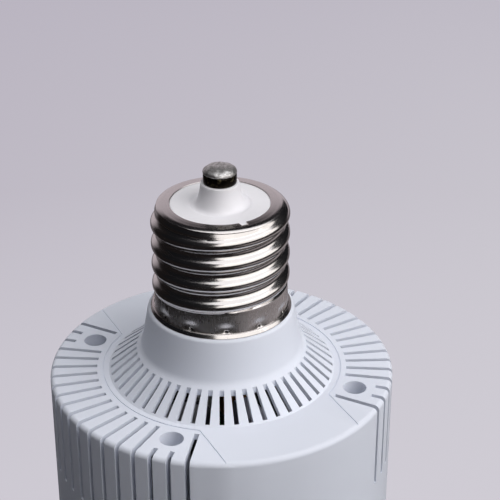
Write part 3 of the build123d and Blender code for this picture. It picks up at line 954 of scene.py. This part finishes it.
# %% [markdown]
# A light chip is a white frame, whose mouth slopes down to a pool of yellow phosphor, with a tinned terminal
# at each end. It is modelled once, from a box whose face is inset twice, the second time downwards. Copies
# of it make a strip, and the strip is turned to the twelve sides. An array modifier would do for a strip,
# but a loop can also place the rings of chips on the end board.

# %% Light chips
chip_length = 5.7
chip_width = 3.0
chip_height = 0.9
chip_pitch = 9.7
chips_per_strip = 14
end_rings = ((11.0, 6), (22.5, 12))
strip_low, strip_high = node_box("led_chips_01")
chip_foot = strip_low.x
strip_middle = (strip_low.z + strip_high.z) / 2


def make_chip():
    """A chip lying on the plane x = 0, facing along +X."""
    far_corner = (chip_height, chip_length / 2, chip_width / 2)
    frame_piece = box_at("chip", (0.0, -chip_length / 2, -chip_width / 2), far_corner)
    painted(frame_piece, chip_frame)
    frame_piece.data.materials.append(phosphor)
    for item in list(frame_piece.data.edges) + list(frame_piece.data.vertices):
        item.select = False
    for face in frame_piece.data.polygons:
        face.select = face.normal.x > 0.9
    bpy.ops.object.mode_set(mode="EDIT")
    bpy.ops.mesh.select_mode(type="FACE")
    bpy.ops.mesh.inset(thickness=0.3 * MM)
    bpy.ops.mesh.inset(thickness=0.25 * MM, depth=-0.32 * MM)
    bpy.ops.object.mode_set(mode="OBJECT")
    for face in frame_piece.data.polygons:
        if face.select:
            face.material_index = 1
    parts = [frame_piece]
    for side in (-1, 1):
        ends = sorted((side * 2.7, side * 3.2))
        parts.append(painted(box_at("terminal", (0.0, ends[0], -1.1), (0.22, ends[1], 1.1)), tin))
    return join(parts, "light_chip")


chip = make_chip()
strip_chips = []
for index in range(chips_per_strip):
    height = strip_middle + (index - (chips_per_strip - 1) / 2) * chip_pitch
    strip_chips.append(copy_at(chip, shift(chip_foot, 0, height)))
strip = join(strip_chips, "chip_strip")
for side in sides:
    copy = copy_at(strip, turn_about_axis(360 / len(sides) * (side - 1)))
    copy.name = f"chip_strip_{side:02d}"
    fit_in(copy, "led_chip", f"led_chips_{side:02d}")
bpy.data.objects.remove(strip, do_unlink=True)

end_face = node_box("end_board")[0].z
end_pieces = []
for radius, count in end_rings:
    for index in range(count):
        face_down = Matrix.Rotation(math.radians(90), 4, "Y")
        place = shift(radius, 0, end_face)
        end_pieces.append(copy_at(chip, turn_about_axis(index * 360 / count) @ place @ face_down))
bpy.data.objects.remove(chip, do_unlink=True)
fit_in(join(end_pieces, "end_light_chips"), "led_chip", "end_chips")

# %% [markdown]
# The transformer is a pair of ferrite E cores that meet at mid height, with the hair's breadth of a gap
# between their limbs, round a bobbin that carries the taped winding. Each core is a bar and three limbs.
# The winding is a box with broad rounds, because the tape hides the wires.

# %% Transformer
def make_transformer():
    low, high = node_box("transformer_core")
    middle_y = (low.y + high.y) / 2
    bar = 3.0
    meeting_z = low.z + 11.0
    half_gap = 0.05
    lower = (low.z, low.z + bar), (low.z + bar, meeting_z - half_gap)
    upper = (high.z - bar, high.z), (meeting_z + half_gap, high.z - bar)
    halves = []
    for bar_z, limb_z in (lower, upper):
        halves.append(box_at("bar", (low.x, low.y, bar_z[0]), (high.x, high.y, bar_z[1]), 0.3))
        for offset in (-10.5, 0.0, 10.5):
            y = middle_y + offset
            halves.append(box_at("limb", (low.x, y - 3, limb_z[0]), (high.x, y + 3, limb_z[1]), 0.3))
    wear(join(halves, "ferrite_cores"), ferrite, "ferrite", "transformer_core")
    low, high = node_box("transformer_coil")
    winding_low = (low.x + 0.5, low.y + 0.4, low.z + 6.1)
    winding_high = (high.x - 0.5, high.y - 0.4, high.z - 1)
    parts = [painted(box_at("winding", winding_low, winding_high, 1.8, 4), brown_tape)]
    for level in (low.z + 5.1, high.z - 1):
        flange = box_at("flange", (low.x, low.y, level), (high.x, high.y, level + 1), 0.2)
        parts.append(painted(flange, black_plastic))
    for side_low, side_high in ((low.x, low.x + 3.3), (high.x - 3.3, high.x)):
        foot = box_at("foot", (side_low, low.y, low.z), (side_high, high.y, low.z + 5.1), 0.3)
        parts.append(painted(foot, black_plastic))
    fit_in(join(parts, "taped_winding"), "coil_tape", "transformer_coil")


make_transformer()

# %% [markdown]
# The two big capacitors are cans in a shrunk sleeve. A groove near the foot grips the rubber seal. The sleeve
# curls over the top edge and leaves the aluminium end bare, with the cross that is pressed in to let it open
# safely. Sleeve and end are turned apart, so that each wears its own finish without picking faces.

# %% Capacitors
def make_bulk_capacitor(node, name):
    low, high = node_box(node)
    centre = upright_axis(low, high)
    radius = (high.x - low.x) / 2
    top = high.z
    profile = [(radius - 1.2, low.z), (radius - 0.3, low.z), (radius, low.z + 0.4), (radius, low.z + 2.2)]
    profile += [(radius - 0.45, low.z + 2.9), (radius - 0.45, low.z + 3.3), (radius, low.z + 4.0)]
    profile += [(radius, top - 1.0), (radius - 0.25, top - 0.35), (radius - 0.8, top), (radius - 1.7, top)]
    profile += [(radius - 2.0, top - 0.25)]
    sleeve = painted(turned_piece("sleeve", profile, columns=64, centre=centre), black_sleeve)
    end = [(radius - 1.7, top - 0.3), (radius - 2.2, top - 0.3), (0, top - 0.3)]
    can_end = turned_piece("can_end", end, columns=64, centre=centre)
    parts = [smooth(sleeve, 35), painted(can_end, turned_aluminium)]
    reach = radius - 3.0
    for across, along in ((reach, 0.18), (0.18, reach)):
        low_corner = (centre[0] - across, centre[1] - along, top - 0.34)
        high_corner = (centre[0] + across, centre[1] + along, top - 0.2)
        parts.append(painted(box_at("vent", low_corner, high_corner), aluminium))
    fit_in(join(parts, name), "capacitor_sleeve", node)


make_bulk_capacitor("bulk_capacitor_1", "can_capacitor_1")
make_bulk_capacitor("bulk_capacitor_2", "can_capacitor_2")
film_low, film_high = node_box("film_capacitor")
wear(box_at("film_block", film_low, film_high, 0.6, 3), film_box, "film_box", "film_capacitor")

# %% [markdown]
# The input choke is a ring of ferrite wound with loops of enamelled wire. One real wire would be a long
# coiled sweep. Separate loops, each a stretched torus, look the same and take few faces.

# %% Input choke
def make_input_choke():
    low, high = node_box("input_choke")
    centre = upright_axis(low, high)
    inner = 4.5
    outer = 7.0
    foot = low.z + 1.6
    top = high.z - 1.6
    profile = [(inner, foot), (outer, foot), (outer, top), (inner, top), (inner, foot)]
    ring = smooth(turned_piece("ring", profile, columns=48, loop=True, centre=centre), 35)
    parts = [painted(ring, ferrite)]
    middle_z = (low.z + high.z) / 2
    turns = 24
    start_clean()
    bpy.ops.mesh.primitive_torus_add(
        major_segments=18, minor_segments=6, major_radius=1.9 * MM, minor_radius=0.32 * MM
    )
    loop = bpy.context.object
    upright = Matrix.Rotation(math.radians(90), 4, "X")
    loop.data.transform(Matrix.Diagonal((1.0, 1.0, 1.9, 1.0)) @ upright)
    painted(loop, copper)
    for index in range(turns):
        turn = turn_about_axis((index + 0.5) * 360 / turns)
        out = shift((inner + outer) / 2, 0, 0)
        parts.append(copy_at(loop, shift(*centre, middle_z) @ turn @ out))
    bpy.data.objects.remove(loop, do_unlink=True)
    fit_in(smooth(join(parts, "wound_ring"), 35), "choke_wire", "input_choke")


make_input_choke()

# %% [markdown]
# The output choke is a drum core with its wire between two flanges. The wire lies in close turns, so the
# winding is one turned piece with a ripple for each turn.

# %% Output choke
def make_output_choke():
    low, high = node_box("output_choke")
    centre = upright_axis(low, high)
    drum = [(5.1, low.z), (5.5, low.z + 0.2), (5.5, low.z + 1.6), (3.2, low.z + 1.7)]
    drum += [(3.2, high.z - 1.7), (5.5, high.z - 1.6), (5.5, high.z - 0.2), (5.1, high.z), (0, high.z)]
    body = smooth(turned_piece("drum", drum, columns=48, centre=centre, cap=True), 35)
    wound = []
    turns = 14
    steps_per_turn = 4
    steps = turns * steps_per_turn
    for step in range(steps + 1):
        z = low.z + 1.75 + (high.z - low.z - 3.5) * step / steps
        wound.append((4.75 + 0.22 * abs(math.sin(step * math.pi / steps_per_turn)), z))
    winding = painted(turned_piece("winding", wound, columns=40, centre=centre), copper)
    fit_in(join([winding, painted(body, ferrite)], "drum_choke"), "capacitor_sleeve", "output_choke")


make_output_choke()

# %% [markdown]
# The bridge rectifier is a plain black moulding, so a box with rounded edges is all of it. The varistor is a
# disc dipped in blue lacquer. It is turned upright, with a rounded edge, and laid on its side.

# %% Rectifier and varistor
rect_low, rect_high = node_box("bridge_rectifier")
wear(box_at("rectifier_block", rect_low, rect_high, 0.5), black_plastic, "black_plastic", "bridge_rectifier")


def make_varistor():
    low, high = node_box("varistor")
    half = (high.x - low.x) / 2
    profile = [(2.5, -half), (4.2, -half), (5.1, -half + 0.5), (5.5, 0.0), (5.1, half - 0.5), (4.2, half)]
    profile += [(0, half)]
    disc = smooth(turned_piece("varistor_disc", profile, columns=48, cap=True), 60)
    lay_along_x(disc, (low + high) / 2)
    wear(disc, blue_lacquer, "varistor_blue", "varistor")


make_varistor()

# %% [markdown]
# The fuse is a pale tube with a tinned cap pressed over each end. All three are turned about one line, and
# laid on their side together.

# %% Fuse
def make_fuse():
    low, high = node_box("fuse")
    half = (high.x - low.x) / 2
    tube = turned_piece("tube", [(2.3, -half + 1), (2.3, half - 1)], columns=40)
    parts = [painted(tube, nylon)]
    for side in (-1, 1):
        inner = side * (half - 3)
        outer = side * (half - 0.3)
        profile = [(2.3, inner), (2.6, inner), (2.6, outer), (2.3, side * half), (0, side * half)]
        parts.append(painted(turned_piece("fuse_cap", profile, columns=40), tin))
    fuse = smooth(join(parts, "capped_fuse"), 35)
    lay_along_x(fuse, (low + high) / 2)
    fit_in(fuse, "film_box", "fuse")


make_fuse()

# %% [markdown]
# The power transistor is a black body on a tinned tab, on three legs. All of it is boxes. The body's edges
# are rounded a little more than the tab's, because one is moulded and the other is cut from sheet.

# %% Transistor
def make_transistor():
    low, high = node_box("power_transistor")
    middle = (low.y + high.y) / 2
    body = box_at("body", (low.x, low.y, low.z + 4), (high.x - 0.2, high.y, low.z + 12.5), 0.3)
    tab = box_at("tab", (high.x - 1.3, low.y, low.z + 12), (high.x, high.y, high.z), 0.2)
    parts = [painted(body, black_plastic), painted(tab, tin)]
    leg_pitch = 2.54
    for offset in (-leg_pitch, 0.0, leg_pitch):
        leg_low = (low.x + 1.6, middle + offset - 0.4, low.z)
        leg_high = (low.x + 2.1, middle + offset + 0.4, low.z + 4.2)
        parts.append(painted(box_at("leg", leg_low, leg_high), tin))
    fit_in(join(parts, "clamped_transistor"), "black_plastic", "power_transistor")


make_transistor()

# %% [markdown]
# The two-way terminal clamps the leads to the boards below. Each way is a round well with a slotted screw in
# it, and a mouth for the wire under that. Well and mouth are cut by booleans, and the screw is turned.

# %% Terminal
def make_connector():
    low, high = node_box("lead_connector")
    block = box_at("terminal_block", low, high, 0.35)
    quarter = (high.x - low.x) / 4
    middle = (low + high) / 2
    heads = []
    for side in (-1, 1):
        x = middle.x + side * quarter
        shaft = [(1.9, high.z - 1.4), (1.9, high.z + 1), (0, high.z + 1)]
        cut(block, turned_piece("well", shaft, columns=28, centre=(x, middle.y), cap=True))
        cut(block, box_at("mouth", (x - 1.4, low.y - 1, low.z + 2), (x + 1.4, low.y + 2.5, low.z + 5.5)))
        profile = [(1.7, high.z - 1.4), (1.7, high.z - 0.7), (1.4, high.z - 0.5), (0, high.z - 0.5)]
        head = turned_piece("clamp_screw", profile, columns=28, centre=(x, middle.y), cap=True)
        cut(head, box_at("slot", (x - 2, middle.y - 0.2, high.z - 0.8), (x + 2, middle.y + 0.2, high.z)))
        heads.append(painted(head, zinc_steel))
    terminal = join([painted(block, nylon)] + heads, "two_way_terminal")
    fit_in(terminal, "white_plastic", "lead_connector")


make_connector()

# %% [markdown]
# The transistor's heat sink is a strip of aluminium that is bent once. An extruded section would do, but two
# boxes that meet at the bend are the same form with less to write.

# %% Bent heat sink
bent_thickness = 1.6
plate_low, plate_high = node_box("transistor_heat_sink")
bent = [
    box_at("upright", plate_low, (plate_low.x + bent_thickness, plate_high.y, plate_high.z), 0.25),
    box_at("foot", plate_low, (plate_high.x, plate_high.y, plate_low.z + bent_thickness), 0.25),
]
wear(join(bent, "bent_heat_sink"), aluminium, "aluminium", "transistor_heat_sink")

# %% [markdown]
# The leads run from the driver to the contact, to the shell and down to the boards. Their packed form is a
# round sweep along each route. Smooth copies of it hide the facets of the bends, and get coloured sleeves.

# %% Leads
for node, name, material, slot in (
    ("live_lead", "live_wire", red_sleeve, "red_sleeve"),
    ("neutral_lead", "neutral_wire", white_sleeve, "white_sleeve"),
    ("output_leads", "output_wires", red_sleeve, "red_sleeve"),
):
    wear(smooth_copy(node, name, 40), material, slot, node)

# %% [markdown]
# The studio is a pale paper that curves up into a backdrop. Its tones are painted on it as a glow, in place
# of light. The camera sees it as a pale tone with painted light, lighter to the right and near the lamp and
# darker far back. Reflections see painted reflections on it: pale behind the lamp, with one pale patch at the
# right, and dark in front, as beside a black flag, which is what gives the plated metal its deep darks. Real
# cards could stand round the lamp for that, but the camera and the white plastic would see them too.

# %% Floor and backdrop
paper_size = 6.0
backdrop_height = 3.0
sweep_width = 1.2


def make_floor():
    start_clean()
    bpy.ops.mesh.primitive_plane_add(size=1, location=(0, 0, 0))
    floor = bpy.context.object
    floor.name = "studio_floor"
    floor.scale = (paper_size, paper_size, 1)
    floor.location.z = -0.0003
    settle(floor)
    bpy.ops.object.mode_set(mode="EDIT")
    bpy.ops.mesh.select_all(action="DESELECT")
    bpy.ops.object.mode_set(mode="OBJECT")
    for edge in floor.data.edges:
        edge.select = all(floor.data.vertices[index].co.y > 0.45 * paper_size for index in edge.vertices)
    bpy.ops.object.mode_set(mode="EDIT")
    bpy.ops.mesh.select_mode(type="EDGE")
    bpy.ops.mesh.extrude_edges_indiv()
    bpy.ops.transform.translate(value=(0, 0, backdrop_height))
    bpy.ops.object.mode_set(mode="OBJECT")
    bend = floor.modifiers.new("sweep", "BEVEL")
    bend.width = sweep_width
    bend.segments = 16
    return smooth(apply_modifiers(floor), 60)


floor = make_floor()
print("floor faces:", len(floor.data.polygons))

# %% [markdown]
# The floor's finish asks what kind of ray looks at it. The camera gets the paper's glowing tones with painted
# light, a reflection gets a painted dark or pale of a studio, and light that falls on it goes back up
# faintly.
# The painted tones vary with the way across the picture and the way into it, which are turned a little from X
# and Y.

# %% Paper
def light_path(place, question):
    """1 where the ray that looks is of a kind, such as Is Camera Ray, and 0 for all others."""
    path = place.tree.nodes.new("ShaderNodeLightPath")
    return Signal(place.tree, path.outputs[question])


view_cosine = 0.906
view_sine = 0.423
paper_painted_light_left = (0.530, 0.500, 0.562)
paper_painted_light_right = (0.612, 0.592, 0.640)
paper_painted_light_far = (0.470, 0.440, 0.515)
paper_painted_light_near = (0.636, 0.612, 0.672)
painted_reflection_dark = (0.012, 0.010, 0.010)
painted_reflection_right = (0.44, 0.40, 0.41)
painted_reflection_back = (0.62, 0.56, 0.60)
bounce_tone = (0.17, 0.17, 0.19)
black = (0.0, 0.0, 0.0)


def paint_floor(place):
    """Painted light for the camera, painted reflections, and the light that the paper sends back up."""
    seen = light_path(place, "Is Camera Ray")
    mirrored = light_path(place, "Is Glossy Ray")
    to_right = place.axis(0) * view_cosine - place.axis(1) * view_sine
    to_back = place.axis(0) * view_sine + place.axis(1) * view_cosine
    length = place.node("ShaderNodeVectorMath", {"operation": "LENGTH"}, {0: place}, output=1)
    # Painted light: the paper glows lighter to the right and near the lamp, and darker far back.
    paper = mix((to_right * 2.5 + 0.5).clamped(), paper_painted_light_left, paper_painted_light_right)
    farther = (to_back * 0.9 - 0.2).clamped()
    paper = mix(farther, paper, paper_painted_light_far)
    paper = mix(((0.55 - length) * 2.2).clamped(), paper, paper_painted_light_near)
    # Painted reflections: dark in front as beside a black flag, pale behind, and a pale patch at the right.
    below_dark = ((2.45 - place.axis(2)) * 2.5).clamped()
    behind = ((to_back / length - 0.62) * 5.0).clamped() * below_dark
    behind = behind * (((length - 0.7) * 0.7).clamped() * 0.78 + 0.22)
    beside = ((to_right / length - 0.3) * 2.0).clamped() * ((length - 0.31) * 8.0).clamped()
    beside = beside * ((0.64 - length) * 6.0).clamped()
    painted_reflection_tone = mix(beside, painted_reflection_dark, painted_reflection_right)
    painted_reflection_tone = mix(behind, painted_reflection_tone, painted_reflection_back)
    glow = mix(seen, mix(mirrored, black, painted_reflection_tone), paper)
    lit = mix(seen, mix(mirrored, bounce_tone, black), black)
    return {"Base_Color": lit, "Emission_Color": glow}


matt = {"Specular_IOR_Level": 0.0, "Roughness": 0.9, "Emission_Strength": 1.0}
floor.data.materials.append(finish("paper_with_painted_light", paint_floor, **matt))

# %% [markdown]
# Three upright softboxes stand round the lamp's front and right, and a wide one hangs over it: the metal
# mirrors them as its bright bands. The key and the fill behind aren't mirrored. They only model the white
# mouldings, lighter on the right, and the sky is kept faint.

# %% Lamps and world
aim_point = (0.0, 0.0, 0.21)
panel_distance = 1.15
panel_foot = 0.22
roof_place = (0.35, -0.5, 1.38)
roof_aim = (0.35, -0.5, 0.0)
warm_white = (1.0, 0.98, 0.96)
roof_white = (0.98, 0.98, 1.0)
cool_white = (0.97, 0.98, 1.0)


def add_softbox(name, place, aim, width, height, watts, colour):
    bpy.ops.object.light_add(type="AREA", location=place)
    lamp = bpy.context.object
    lamp.name = name
    lamp.data.shape = "RECTANGLE"
    lamp.data.size = width
    lamp.data.size_y = height
    lamp.data.energy = watts
    lamp.data.color = colour
    direction = Vector(aim) - Vector(place)
    lamp.rotation_euler = direction.to_track_quat("-Z", "Y").to_euler()
    print("lamp:", name, "watts:", watts)
    return lamp


def panel_at(name, angle, watts, width=0.92, height=1.15):
    """Upright softbox beside the lamp, a little over a metre away, at an angle round it."""
    turn = math.radians(angle)
    level = panel_foot + height / 2
    place = (panel_distance * math.cos(turn), panel_distance * math.sin(turn), level)
    return add_softbox(name, place, (0.0, 0.0, level), width, height, watts, warm_white)


front_panel = panel_at("front_panel", -106.0, 4.2, width=0.75)
front_panel.visible_diffuse = False
panel_at("right_panel", -66.0, 4.9)
panel_at("side_panel", -31.0, 3.4, width=0.62)
add_softbox("roof_panel", roof_place, roof_aim, 1.7, 1.7, 13.5, roof_white)
key = add_softbox("key", (0.28, -0.72, 1.15), aim_point, 0.9, 0.9, 3.5, cool_white)
key.visible_glossy = False
back_fill = add_softbox("back_fill", (-0.35, 1.15, 1.0), aim_point, 1.0, 1.0, 4.0, cool_white)
back_fill.visible_glossy = False

world = bpy.data.worlds.new("studio_world")
bpy.context.scene.world = world
world.use_nodes = True
sky = world.node_tree.nodes["Background"]
sky.inputs["Color"].default_value = (0.80, 0.84, 1.0, 1.0)
sky_ray = world.node_tree.nodes.new("ShaderNodeLightPath")
mirrored_sky = Signal(world.node_tree, sky_ray.outputs["Is Glossy Ray"])
feed(world.node_tree, 0.03 - mirrored_sky * 0.02, sky.inputs["Strength"])
